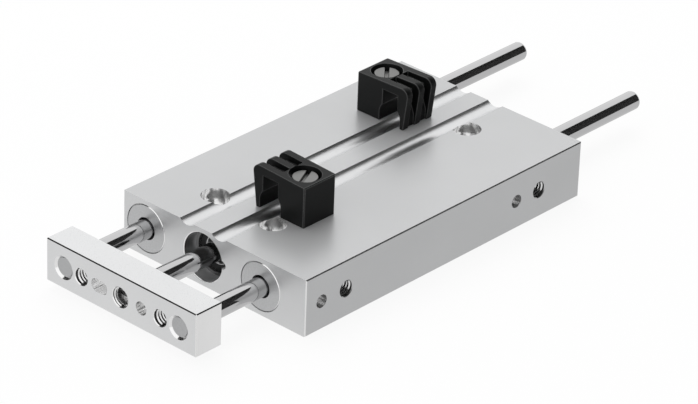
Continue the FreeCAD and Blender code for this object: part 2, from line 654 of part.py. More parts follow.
NODES = (
    "housing", "front_bushing_left", "front_bushing_right", "rear_bushing_left",
    "rear_bushing_right", "guide_rod_left", "guide_rod_right", "piston_rod",
    "piston_front_half", "piston_rear_half", "piston_magnet", "piston_seal_front",
    "piston_seal_rear", "piston_nut", "bearing_cap", "rod_bearing", "rod_seal",
    "front_retaining_ring", "rear_end_cap", "rear_retaining_ring", "yoke_plate",
    "yoke_set_screw", "sensor_bracket_front", "sensor_bracket_rear",
    "bracket_screw_front", "bracket_screw_rear",
)


def write_parts():
    """Check every object and write one STEP file for each piece."""
    doc.recompute()
    for item in doc.Objects:
        if "Invalid" in item.State or "Error" in item.State:
            raise RuntimeError(f"{item.Name} did not recompute: {item.State}")
        if item.TypeId in ("PartDesign::Pocket", "PartDesign::Groove"):
            if item.Shape.Volume > item.BaseFeature.Shape.Volume - SMALLEST_CUT:
                raise RuntimeError(f"{item.Name} cuts nothing")
    pieces = {label: doc.getObjectsByLabel(label)[0].Shape for label in NODES}
    for label, shape in pieces.items():
        if shape.isNull() or not shape.isValid() or not shape.Solids:
            raise RuntimeError(f"{label} has no valid solid")
    os.makedirs("parts", exist_ok=True)
    for label, shape in pieces.items():
        shape.exportStep(f"parts/{label}.step")


make_housing()
make_bushings()
make_guide_rods()
make_piston_rod()
make_piston()
make_front_cap()
make_rear_cap()
make_yoke_plate()
make_yoke_screw()
make_bracket("sensor_bracket_front", "-bracket_inset", "0")
make_bracket("sensor_bracket_rear", "bracket_inset - body_length", "180")
make_bracket_screw("bracket_screw_front", "-bracket_inset", "bracket_screw_offset",
                   "front_screw_turn")
make_bracket_screw("bracket_screw_rear", "bracket_inset - body_length",
                   "-bracket_screw_offset", "rear_screw_turn")
write_parts()
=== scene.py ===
import logging
import math
from collections.abc import Callable, Iterator
from contextlib import contextmanager
from dataclasses import dataclass
from enum import Enum

import bmesh
import bpy
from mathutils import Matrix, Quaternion, Vector


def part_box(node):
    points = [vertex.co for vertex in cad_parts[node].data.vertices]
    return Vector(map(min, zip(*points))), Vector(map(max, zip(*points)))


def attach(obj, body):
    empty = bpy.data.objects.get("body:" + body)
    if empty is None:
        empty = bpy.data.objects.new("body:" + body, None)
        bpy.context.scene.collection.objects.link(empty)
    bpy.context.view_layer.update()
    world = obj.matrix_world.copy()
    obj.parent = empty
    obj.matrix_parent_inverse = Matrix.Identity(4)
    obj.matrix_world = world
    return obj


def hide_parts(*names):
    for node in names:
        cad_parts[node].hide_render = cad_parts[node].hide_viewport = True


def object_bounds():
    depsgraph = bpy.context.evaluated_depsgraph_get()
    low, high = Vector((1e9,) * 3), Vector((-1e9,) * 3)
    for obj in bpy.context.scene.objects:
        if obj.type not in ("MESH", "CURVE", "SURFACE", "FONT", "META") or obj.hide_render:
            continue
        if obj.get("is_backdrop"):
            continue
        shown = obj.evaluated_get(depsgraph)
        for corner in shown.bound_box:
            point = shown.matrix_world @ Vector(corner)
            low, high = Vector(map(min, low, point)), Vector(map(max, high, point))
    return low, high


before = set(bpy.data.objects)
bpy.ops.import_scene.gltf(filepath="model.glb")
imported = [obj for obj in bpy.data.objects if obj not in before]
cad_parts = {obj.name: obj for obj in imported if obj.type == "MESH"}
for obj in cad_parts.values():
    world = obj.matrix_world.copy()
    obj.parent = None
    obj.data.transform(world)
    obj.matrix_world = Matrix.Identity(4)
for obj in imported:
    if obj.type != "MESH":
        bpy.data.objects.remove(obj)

LOG = logging.getLogger("guided_cylinder")

MM = 0.001              # metres
HOUSING_BODY = "housing_unit"
YOKE_BODY = "yoke_unit"

TINY = 0.0002 * MM      # points nearer than this are one point
ROUND_STEPS = 96        # segments of a full turn
BEVEL_STEPS = 2         # faces across a rounding
SIN_45 = math.sqrt(0.5)

# A face's direction, by its normal's share along an axis.
LEVEL = 0.01            # below this the axis counts for nothing
GRAZING = 0.3           # from here the face slopes a little towards the axis
SLOPING = 0.5           # from here it slopes as a bevel does
FACING = 0.9            # from here it looks along the axis
HALFWAY = (0.6, 0.8)    # between these it looks about 45 degrees away from the axis

# Angles between faces, in degrees.
CREASE = 30.0           # sharper edges stay sharp
THREAD_CREASE = 35.0    # the same on threads
ROUNDED_CREASE = 50.0   # the same on pieces with rounded edges
FLAT_WITHIN = 0.5       # faces that differ by less are one flat face

NORMAL_WEIGHT = 100     # weight of large faces in the shading, the most there is

THREAD_SUNK = 0.02 * MM     # how far a ridge's foot goes into the bore's wall
THREAD_FLANK = 0.32         # half the width of a ridge's foot, as a share of the pitch

WHITE = (1.0, 1.0, 1.0, 1.0)
MATT_ROUGHNESS = 0.9
NOISE_BAND = (0.3, 0.7)     # the part of the noise that colours and gloss are spread over
MARK_DETAIL, MARK_ROUGHNESS = 5.0, 0.65
CLOUD_DETAIL, CLOUD_ROUGHNESS = 3.0, 0.5


class Axis(Enum):
    """The frame's axes, as unit vectors."""

    X = (1.0, 0.0, 0.0)
    Y = (0.0, 1.0, 0.0)
    Z = (0.0, 0.0, 1.0)

    @property
    def vector(self) -> Vector:
        """The axis as a vector."""
        return Vector(self.value)

    @property
    def turn(self) -> tuple[float, float, float]:
        """Euler angles that lay local Z along this axis.

        Returns:
            The three angles, in radians.
        """
        quarter = math.pi / 2
        return {
            Axis.X: (0.0, quarter, 0.0),
            Axis.Y: (-quarter, 0.0, 0.0),
            Axis.Z: (0.0, 0.0, 0.0),
        }[self]


# ---------------------------------------------------------------- finishes


@dataclass(frozen=True)
class Grain:
    """Fine marks on a surface, from noise on Object coordinates.

    scale is in marks per metre along X, Y and Z, so a small number draws the marks out.
    """

    scale: tuple[float, float, float]
    depth: float            # height of the marks, in metres
    colour_change: float    # share by which the colour changes
    rough_change: float     # by how much the roughness changes


@dataclass(frozen=True)
class Finish:
    """A surface finish: colour, gloss and grain."""

    name: str
    colour: tuple[float, float, float]      # linear red, green and blue
    metallic: float
    roughness: float
    grain: Grain
    cloud_scale: float = 90.0   # slow changes over the surface, per metre
    cloud_change: float = 0.03  # share by which they change the colour
    specular: float = 0.5       # shine where it isn't metallic

    def material(self) -> bpy.types.Material:
        """Build the finish's material once and reuse it.

        Returns:
            The node material.
        """
        known = bpy.data.materials.get(self.name)
        if known:
            return known
        material = bpy.data.materials.new(self.name)
        material.use_nodes = True
        nodes, links = material.node_tree.nodes, material.node_tree.links
        shader = nodes["Principled BSDF"]
        shader.inputs["Metallic"].default_value = self.metallic
        shader.inputs["Specular IOR Level"].default_value = self.specular

        place = nodes.new("ShaderNodeTexCoord")
        stretch = nodes.new("ShaderNodeMapping")
        stretch.inputs["Scale"].default_value = self.grain.scale
        marks = self._noise(nodes, 1.0, MARK_DETAIL, MARK_ROUGHNESS)
        clouds = self._noise(nodes, self.cloud_scale, CLOUD_DETAIL, CLOUD_ROUGHNESS)
        links.new(place.outputs["Object"], stretch.inputs["Vector"])
        links.new(stretch.outputs["Vector"], marks.inputs["Vector"])
        links.new(place.outputs["Object"], clouds.inputs["Vector"])

        fine = self._ramp(nodes, self.grain.colour_change)
        slow = self._ramp(nodes, self.cloud_change, white=True)
        links.new(marks.outputs["Fac"], fine.inputs["Fac"])
        links.new(clouds.outputs["Fac"], slow.inputs["Fac"])
        tint = nodes.new("ShaderNodeMix")
        tint.data_type = "RGBA"
        tint.blend_type = "MULTIPLY"
        tint.inputs["Factor"].default_value = 1.0
        links.new(fine.outputs["Color"], tint.inputs["A"])
        links.new(slow.outputs["Color"], tint.inputs["B"])
        links.new(tint.outputs["Result"], shader.inputs["Base Color"])

        gloss = nodes.new("ShaderNodeMapRange")
        spread = self.grain.rough_change
        ends = (*NOISE_BAND, self.roughness - spread, self.roughness + spread)
        for socket, end in zip(("From Min", "From Max", "To Min", "To Max"), ends):
            gloss.inputs[socket].default_value = end
        links.new(marks.outputs["Fac"], gloss.inputs["Value"])
        links.new(gloss.outputs["Result"], shader.inputs["Roughness"])

        relief = nodes.new("ShaderNodeBump")
        relief.inputs["Distance"].default_value = self.grain.depth
        links.new(marks.outputs["Fac"], relief.inputs["Height"])
        links.new(relief.outputs["Normal"], shader.inputs["Normal"])
        return material

    @staticmethod
    def _noise(nodes: bpy.types.Nodes, scale: float, detail: float,
               roughness: float) -> bpy.types.ShaderNode:
        """Add a noise texture.

        Args:
            nodes: The material's nodes.
            scale: Marks per unit of its vector.
            detail: How many finer layers it has.
            roughness: How strong each finer layer is.

        Returns:
            The noise node.
        """
        noise = nodes.new("ShaderNodeTexNoise")
        noise.inputs["Scale"].default_value = scale
        noise.inputs["Detail"].default_value = detail
        noise.inputs["Roughness"].default_value = roughness
        return noise

    def _ramp(self, nodes: bpy.types.Nodes, change: float,
              white: bool = False) -> bpy.types.ShaderNode:
        """Add a ramp from a darker to a lighter tone of the colour.

        Args:
            nodes: The material's nodes.
            change: Share by which the tones differ from the colour.
            white: Whether the tones lie round white, to tint another colour.

        Returns:
            The ramp node.
        """
        ramp = nodes.new("ShaderNodeValToRGB")
        base = WHITE[:3] if white else self.colour
        low, high = ramp.color_ramp.elements
        low.position, high.position = NOISE_BAND
        low.color = (*[tone * (1 - change) for tone in base], 1.0)
        high.color = (*[min(1.0, tone * (1 + change)) for tone in base], 1.0)
        return ramp


EXTRUDED = Grain((400.0, 9000.0, 9000.0), 0.00002 * MM, 0.008, 0.010)
MILLED = Grain((14000.0, 5000.0, 5000.0), 0.00004 * MM, 0.006, 0.010)
GROUND = Grain((6000.0, 30000.0, 30000.0), 0.00005 * MM, 0.02, 0.015)
TURNED = Grain((20000.0, 4000.0, 4000.0), 0.0003 * MM, 0.10, 0.06)
MOULDED = Grain((12000.0, 12000.0, 12000.0), 0.002 * MM, 0.10, 0.06)

# The bar is one anodised metal. Its sides, ends, grooves and holes get tones of their own, set
# face by face for how the light falls on them: painted light and shade.
HOUSING_TOP = Finish("satin_anodised_top", (0.57, 0.575, 0.58), 0.42, 0.32, EXTRUDED)
# Painted highlight: a lighter, mirror-like copy of the bar's metal on the sensor grooves' walls.
HOUSING_GROOVE_PAINTED_HIGHLIGHT = Finish("sensor_groove_painted_highlight", (0.80, 0.805, 0.81), 1.0, 0.32, EXTRUDED)
# Painted shade: a copy of the bar's metal toned for the side faces.
HOUSING_SIDE_PAINTED_SHADE = Finish("anodised_side_painted_shade", (0.61, 0.615, 0.62), 1.0, 0.34, EXTRUDED)
# Milled end faces, a real finish, in a lighter tone of the bar's metal: painted light. The rear
# end cap shares it.
HOUSING_END_PAINTED_LIGHT = Finish("housing_end_painted_light", (0.80, 0.805, 0.81), 1.0, 0.38, MILLED)
# Painted highlight: a lighter, glossier copy of the metal on the walls of drilled holes.
HOLE_PAINTED_HIGHLIGHT = Finish("drilled_hole_painted_highlight", (0.98, 0.98, 0.98), 0.90, 0.16, GROUND)
# Painted shade: a dark copy of the metal at the roots of tapped holes.
HOLE_PAINTED_SHADE = Finish("tapped_hole_painted_shade", (0.10, 0.10, 0.10), 1.0, 0.40, TURNED)
# Painted highlight: a lighter, glossier copy of the metal on bevels, and on the thin ring at the
# bearing cap's mouth.
EDGE_PAINTED_HIGHLIGHT = Finish("edge_painted_highlight", (0.96, 0.96, 0.96), 1.0, 0.16, GROUND)
THREAD_BRIGHT = Finish("cut_thread", (0.88, 0.88, 0.88), 1.0, 0.20, GROUND)
PLATE_BRIGHT = Finish("bright_plate", (0.77, 0.775, 0.78), 0.55, 0.28, MILLED)
# Painted light: a lighter copy of the plate's metal on its sides.
PLATE_SIDE_PAINTED_LIGHT = Finish("plate_side_painted_light", (0.98, 0.98, 0.98), 1.0, 0.30, MILLED)
# Painted light: a lighter copy of the plate's metal on its front and rear faces.
PLATE_FACE_PAINTED_LIGHT = Finish("plate_face_painted_light", (0.87, 0.875, 0.88), 1.0, 0.32, MILLED)
# Painted reflection: a near-black copy of the metal on the plate's top edge bevels.
PLATE_EDGE_PAINTED_REFLECTION = Finish("plate_top_edge_painted_reflection", (0.05, 0.05, 0.05), 1.0, 0.30, MILLED)
STEEL_POLISHED = Finish("polished_rod", (0.60, 0.60, 0.605), 1.0, 0.08, GROUND)
STEEL_FACED = Finish("faced_rod_end", (0.54, 0.545, 0.55), 1.0, 0.34, TURNED)
BUSH_TURNED = Finish("turned_bushing", (0.62, 0.625, 0.63), 1.0, 0.36, TURNED)
SCREW_ZINC = Finish("zinc_screw", (0.26, 0.26, 0.255), 1.0, 0.34, TURNED)
SET_SCREW = Finish("bright_set_screw", (0.80, 0.80, 0.80), 1.0, 0.25, TURNED)
SPRING_BLACK = Finish("blackened_spring", (0.30, 0.30, 0.30), 1.0, 0.25, TURNED)
CAP_BLACK = Finish("black_cap", (0.030, 0.031, 0.031), 0.0, 0.34, MOULDED)
BRACKET_BLACK = Finish("moulded_bracket", (0.006, 0.0065, 0.0065), 0.0, 0.40, MOULDED,
                       specular=0.18)
# Painted highlight: a lighter, glossier copy of the bracket's plastic on its rounded edges.
BRACKET_EDGE_PAINTED_HIGHLIGHT = Finish("bracket_edge_painted_highlight", (0.042, 0.043, 0.043), 0.0, 0.28, MOULDED)
RUBBER = Finish("seal_rubber", (0.02, 0.02, 0.02), 0.0, 0.6, MOULDED)
MAGNET = Finish("sintered_magnet", (0.10, 0.10, 0.11), 0.4, 0.6, MOULDED)

NODE_FINISH: dict[str, Finish] = {
    "bearing_cap": CAP_BLACK,
    "rod_bearing": BUSH_TURNED,
    "rod_seal": RUBBER,
    "rear_end_cap": HOUSING_END_PAINTED_LIGHT,
    "front_retaining_ring": SPRING_BLACK,
    "rear_retaining_ring": SPRING_BLACK,
    "piston_front_half": PLATE_BRIGHT,
    "piston_magnet": MAGNET,
    "piston_seal_front": RUBBER,
    "piston_seal_rear": RUBBER,
    "piston_nut": SCREW_ZINC,
}


# ---------------------------------------------------------------- modelling bench


def select_only(*objects: bpy.types.Object) -> None:
    """Select these objects and no others, and make the first one active.

    Args:
        objects: What to select.
    """
    bpy.ops.object.select_all(action="DESELECT")
    for item in objects:
        item.select_set(True)
    bpy.context.view_layer.objects.active = objects[0]


@contextmanager
def editing(piece: bpy.types.Object) -> Iterator[bmesh.types.BMesh]:
    """Open a piece in edit mode with everything selected.

    Args:
        piece: The mesh object.

    Yields:
        Its edit mesh, for selecting by place.
    """
    select_only(piece)
    bpy.ops.object.mode_set(mode="EDIT")
    bpy.ops.mesh.select_mode(type="VERT")
    bpy.ops.mesh.select_all(action="SELECT")
    yield bmesh.from_edit_mesh(piece.data)
    bpy.ops.object.mode_set(mode="OBJECT")


def settle(piece: bpy.types.Object) -> bpy.types.Object:
    """Put a piece's place into its mesh, so that its object sits at the origin.

    Args:
        piece: The mesh object.

    Returns:
        The same object.
    """
    select_only(piece)
    bpy.ops.object.transform_apply(location=True, rotation=True, scale=True)
    return piece


def apply_modifiers(piece: bpy.types.Object) -> None:
    """Apply every modifier of a piece, first to last.

    Args:
        piece: The mesh object.
    """
    select_only(piece)
    for modifier in list(piece.modifiers):
        bpy.ops.object.modifier_apply(modifier=modifier.name)


def smooth(piece: bpy.types.Object, angle: float = CREASE) -> None:
    """Shade a piece smooth, apart from its sharper edges.

    Large faces keep their own direction, so that a flat face or a long rod mirrors truly.

    Args:
        piece: The mesh object.
        angle: Edges sharper than this stay sharp, in degrees.
    """
    select_only(piece)
    bpy.ops.object.shade_smooth_by_angle(angle=math.radians(angle))
    weigh = piece.modifiers.new("Large faces first", "WEIGHTED_NORMAL")
    weigh.keep_sharp = True
    weigh.weight = NORMAL_WEIGHT
    apply_modifiers(piece)


def round_edges(piece: bpy.types.Object, width: float, angle: float = 40.0,
                slot: int = -1) -> None:
    """Round the edges of a piece that are sharper than an angle.

    Args:
        piece: The mesh object.
        width: Width of the rounding, in metres.
        angle: Smallest angle between faces, in degrees.
        slot: Place of the rounding's material among the piece's, or -1 for its neighbours'.
    """
    bevel = piece.modifiers.new("Rounding", "BEVEL")
    bevel.width = width
    bevel.segments = BEVEL_STEPS
    bevel.limit_method = "ANGLE"
    bevel.angle_limit = math.radians(angle)
    bevel.material = slot
    apply_modifiers(piece)


def copy_node(node: str, name: str) -> bpy.types.Object:
    """Copy a CAD node's mesh, merged, with its flat faces made whole.

    Args:
        node: The CAD node.
        name: Name of the new piece.

    Returns:
        The new piece.
    """
    piece = bpy.data.objects.new(name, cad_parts[node].data.copy())
    bpy.context.scene.collection.objects.link(piece)
    with editing(piece):
        bpy.ops.mesh.remove_doubles(threshold=TINY)
        bpy.ops.mesh.customdata_custom_splitnormals_clear()
        bpy.ops.mesh.dissolve_limited(angle_limit=math.radians(FLAT_WITHIN))
    return piece


def close_up() -> None:
    """Close what is selected in edit mode: merge its points, fill its ends, turn it outward."""
    bpy.ops.mesh.remove_doubles(threshold=TINY)
    bpy.ops.mesh.fill_holes(sides=0)
    bpy.ops.mesh.normals_make_consistent(inside=False)


def shift_points(piece: bpy.types.Object, wanted: Callable[[float], bool],
                 distance: float) -> None:
    """Move some points of a piece along X.

    Args:
        piece: The mesh object.
        wanted: Says whether a point moves, by its place along X.
        distance: How far they move, in metres.
    """
    with editing(piece) as mesh:
        for point in mesh.verts:
            point.select_set(wanted(point.co.x))
        mesh.select_flush_mode()
        bpy.ops.transform.translate(value=(distance, 0.0, 0.0))


def lathe(name: str, profile: list[tuple[float, float]], axis: Axis,
          centre: Vector) -> bpy.types.Object:
    """Turn a piece on an axis: draw a circle out from point to point, resizing it.

    A profile that comes back to its first point gives a ring. Any other is closed at its ends.

    Args:
        name: Name of the new piece.
        profile: Places along the axis from the centre, each with a radius, in metres.
        axis: The axis that the piece is turned about.
        centre: A point on that axis.

    Returns:
        The new piece, with its place in its mesh.
    """
    start, radius = profile[0]
    bpy.ops.mesh.primitive_circle_add(
        vertices=ROUND_STEPS, radius=radius, fill_type="NOTHING", rotation=axis.turn,
        location=centre + axis.vector * start)
    piece = bpy.context.active_object
    piece.name = name
    settle(piece)
    with editing(piece):
        for place, wide in profile[1:]:
            bpy.ops.mesh.extrude_region_move(
                TRANSFORM_OT_translate={"value": axis.vector * (place - start)})
            bpy.ops.transform.resize(value=(wide / radius,) * 3,
                                     center_override=centre + axis.vector * place)
            start, radius = place, wide
        bpy.ops.mesh.select_all(action="SELECT")
        close_up()
    return piece


def thread(name: str, axis: Axis, start: Vector, length: float, root: float,
           pitch: float = 0.5 * MM, height: float = 0.2 * MM) -> bpy.types.Object:
    """Wind a thread's ridge on the inside of a bore.

    Args:
        name: Name of the new piece.
        axis: The bore's axis.
        start: Middle of the thread's first turn.
        length: Length of the thread along the axis.
        root: Radius of the bore, in which the ridge stands.
        pitch: Distance between the turns.
        height: How far the ridge stands in from the bore's wall.

    Returns:
        The new piece, with its place in its mesh.
    """
    foot, flank = root + THREAD_SUNK, THREAD_FLANK * pitch
    bpy.ops.mesh.primitive_circle_add(vertices=3, radius=height, fill_type="NOTHING",
                                      rotation=Axis.Y.turn)
    piece = bpy.context.active_object
    piece.name = name
    settle(piece)
    corners = ((foot, -flank), (root - height, 0.0), (foot, flank))
    for point, (across, along) in zip(piece.data.vertices, corners):
        point.co = (across, 0.0, along)
    winding = piece.modifiers.new("Winding", "SCREW")
    winding.steps = winding.render_steps = ROUND_STEPS // 2
    winding.iterations = max(1, round(length / pitch))
    winding.screw_offset = pitch
    apply_modifiers(piece)
    with editing(piece):
        close_up()
    piece.rotation_euler = axis.turn
    piece.location = start
    smooth(piece, THREAD_CREASE)
    return settle(piece)


def dress(piece: bpy.types.Object, finish: Finish) -> None:
    """Give a piece one finish all over."""
    piece.data.materials.clear()
    piece.data.materials.append(finish.material())


def dress_faces(piece: bpy.types.Object, finish: Finish,
                wanted: Callable[[bpy.types.MeshPolygon], bool]) -> None:
    """Give some faces of a piece another finish.

    Args:
        piece: The mesh object.
        finish: The finish.
        wanted: Says whether a face gets it.
    """
    piece.data.materials.append(finish.material())
    place = len(piece.data.materials) - 1
    for face in piece.data.polygons:
        if wanted(face):
            face.material_index = place


def seat(piece: bpy.types.Object, body: str, slot: str, *nodes: str) -> bpy.types.Object:
    """Seat a finished piece on its CAD body and hide the CAD nodes that it replaces.

    Args:
        piece: The finished piece.
        body: The CAD body that it rides on.
        slot: Not used.
        nodes: CAD nodes that it replaces.

    Returns:
        The same object.
    """
    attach(piece, body)
    if nodes:
        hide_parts(*nodes)
    LOG.info("%s: %d faces on %s", piece.name, len(piece.data.polygons), body)
    return piece


def middle(node: str) -> Vector:
    """Middle of a CAD node's box."""
    low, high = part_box(node)
    return (low + high) / 2


def front_of(node: str) -> Vector:
    """Middle of a CAD node's front end."""
    return Vector((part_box(node)[1].x, *middle(node).yz))


def radius_of(node: str) -> float:
    """Radius of a round CAD node that lies along X."""
    low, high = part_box(node)
    return (high.z - low.z) / 2


def length_of(node: str) -> float:
    """Length of a CAD node along X."""
    low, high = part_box(node)
    return high.x - low.x


# ---------------------------------------------------------------- sub-assemblies


@dataclass
class Housing:
    """The flat housing with its bushings, port threads and a thin ring at the bearing cap's mouth
    that carries a painted highlight.
    """

    port_depth: float = 3.8 * MM        # air ports, from the side face
    port_radius: float = 1.25 * MM      # the core of their threads
    port_inset: tuple[float, float] = (8.35 * MM, 9.35 * MM)    # from the front and rear ends
    thread_setback: float = 0.5 * MM    # from a port's mouth and floor to its thread
    rim: float = 0.18 * MM              # bevel on the bushings' edges, and slack round a hole
    mouth: float = 0.25 * MM            # bevel at a bushing's mouth, and what belongs to a hole's
    mouth_depth: float = 0.5 * MM       # how deep the bevel at a bushing's mouth goes
    bush_play: float = 0.03 * MM        # between bushing and guide rod
    bore_reach: float = 4.2 * MM        # what belongs to the front bore, from its middle
    bore_edge: float = 0.12 * MM        # bevel on the front bore
    corner: float = 0.15 * MM           # what belongs to the bar's edges, from its faces
    highlight_ring_gap: float = 0.6 * MM         # between piston rod and the painted-highlight ring
    highlight_ring_width: float = 0.25 * MM
    hole_spread: float = 5.8 * MM       # from the middle to a mounting hole's axis
    hole_reach: float = 2.3 * MM        # what belongs to a mounting hole, from its axis
    groove_floor: float = 6.5 * MM      # what belongs to the sensor seats lies above this
    groove_reach: float = 6.0 * MM      # what belongs to the sensor seats, from the middle

    def build(self) -> None:
        """Make the housing's pieces."""
        self._block()
        self._port_threads()
        self._highlight_ring()
        for end in ("front", "rear"):
            for side in ("left", "right"):
                self._bushing(end, side)

    def _block(self) -> None:
        """The bar itself, with milled ends and satin sides; sides, ends, sensor grooves, holes
        and front bevels get painted light and shade in tones of its metal.
        """
        block = copy_node("housing", "housing_block")
        low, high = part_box("housing")
        bore = middle("front_retaining_ring")
        with editing(block) as mesh:
            bpy.ops.mesh.select_all(action="DESELECT")
            bpy.ops.mesh.select_mode(type="EDGE")
            for edge in mesh.edges:
                edge.select_set(all(
                    abs(point.co.x - high.x) < TINY
                    and math.hypot(point.co.y - bore.y, point.co.z - bore.z) < self.bore_reach
                    for point in edge.verts))
            bpy.ops.mesh.bevel(offset=self.bore_edge, segments=BEVEL_STEPS, affect="EDGES")
        smooth(block)
        dress(block, HOUSING_TOP)
        # Painted shade on the side faces and their edge bevels.
        dress_faces(block, HOUSING_SIDE_PAINTED_SHADE, lambda face: (
            abs(face.normal.y) > FACING
            or abs(face.normal.y) > GRAZING and high.y - abs(face.center.y) < self.corner))
        # Painted light on the milled end faces.
        dress_faces(block, HOUSING_END_PAINTED_LIGHT, lambda face: abs(face.normal.x) > FACING)
        # Painted highlight on the sensor grooves' walls.
        dress_faces(block, HOUSING_GROOVE_PAINTED_HIGHLIGHT, lambda face: (
            abs(face.normal.x) < LEVEL and self.groove_floor < face.center.z < high.z - TINY
            and abs(face.center.y) < self.groove_reach))
        stations = self._stations().values()
        z = middle("housing").z
        # Painted highlight on the walls of the mounting holes.
        dress_faces(block, HOLE_PAINTED_HIGHLIGHT, lambda face: (
            (abs(face.normal.z) < LEVEL or low.z + self.rim < face.center.z < high.z - self.mouth)
            and min(math.hypot(face.center.x - x, abs(face.center.y) - self.hole_spread)
                    for x in stations) < self.hole_reach))
        # Painted highlight on the walls of the air ports.
        dress_faces(block, HOLE_PAINTED_HIGHLIGHT, lambda face: (
            (abs(face.normal.y) < LEVEL or face.center.y < high.y - self.mouth)
            and high.y - face.center.y < self.port_depth - TINY
            and abs(face.center.z - z) < self.port_radius))
        # Painted shade at the roots of the port threads.
        dress_faces(block, HOLE_PAINTED_SHADE, lambda face: (
            abs(face.normal.y) < LEVEL and high.y - face.center.y < self.port_depth
            and min(math.hypot(face.center.x - x, face.center.z - z) for x in stations)
            < self.port_radius + self.rim))
        # Painted highlight on the front end's bevels at the side edge and round the bore.
        dress_faces(block, EDGE_PAINTED_HIGHLIGHT, lambda face: (
            GRAZING < abs(face.normal.x) < FACING and high.x - face.center.x < self.corner
            and (high.y - face.center.y < self.corner or math.hypot(
                face.center.y - bore.y, face.center.z - bore.z) < self.bore_reach)))
        seat(block, HOUSING_BODY, "anodised_aluminium", "housing")

    def _stations(self) -> dict[str, float]:
        """Where along the housing the ports and the mounting holes stand.

        Returns:
            The place along X for each end.
        """
        low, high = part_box("housing")
        front, rear = self.port_inset
        return {"front": high.x - front, "rear": low.x + rear}

    def _port_threads(self) -> None:
        """The threads in the two air ports."""
        side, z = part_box("housing")[1].y, middle("housing").z
        length = self.port_depth - 2 * self.thread_setback
        for end, x in self._stations().items():
            start = Vector((x, side - self.thread_setback - length, z))
            ridge = thread(f"{end}_port_thread", Axis.Y, start, length, self.port_radius)
            dress(ridge, THREAD_BRIGHT)
            seat(ridge, HOUSING_BODY, "anodised_aluminium")

    def _highlight_ring(self) -> None:
        """A thin ring round the rod in the bearing cap's mouth, there to show a painted
        highlight.
        """
        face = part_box("front_retaining_ring")[0]
        inner = radius_of("piston_rod") + self.highlight_ring_gap
        outer, proud = inner + self.highlight_ring_width, self.highlight_ring_width / 2
        ring = lathe("bearing_cap_highlight_ring", [
            (0.0, inner), (0.0, outer), (proud, outer - proud / 2), (proud, inner + proud / 2),
            (0.0, inner)], Axis.X, Vector((face.x, *middle("piston_rod").yz)))
        smooth(ring)
        dress(ring, EDGE_PAINTED_HIGHLIGHT)
        seat(ring, HOUSING_BODY, "bushing_metal")

    def _bushing(self, end: str, side: str) -> None:
        """One guide bushing with rounded rims, flush with the housing's end.

        Args:
            end: Which end of the housing, front or rear.
            side: Which guide rod, left or right.
        """
        node = f"{end}_bushing_{side}"
        length, outer = length_of(node), radius_of(node)
        inner = radius_of(f"guide_rod_{side}") + self.bush_play
        bush = lathe(f"{node}_turned", [
            (0.0, inner + self.mouth), (-self.mouth_depth, inner), (self.rim - length, inner),
            (-length, inner + self.rim), (-length, outer - self.rim),
            (self.rim - length, outer), (-self.rim, outer), (0.0, outer - self.rim),
            (0.0, inner + self.mouth)], Axis.X, front_of(node))
        smooth(bush)
        dress(bush, BUSH_TURNED)
        # Painted highlight on the bevel at the bushing's mouth.
        dress_faces(bush, EDGE_PAINTED_HIGHLIGHT, lambda face: SLOPING < face.normal.x < FACING)
        seat(bush, HOUSING_BODY, "bushing_metal", node)


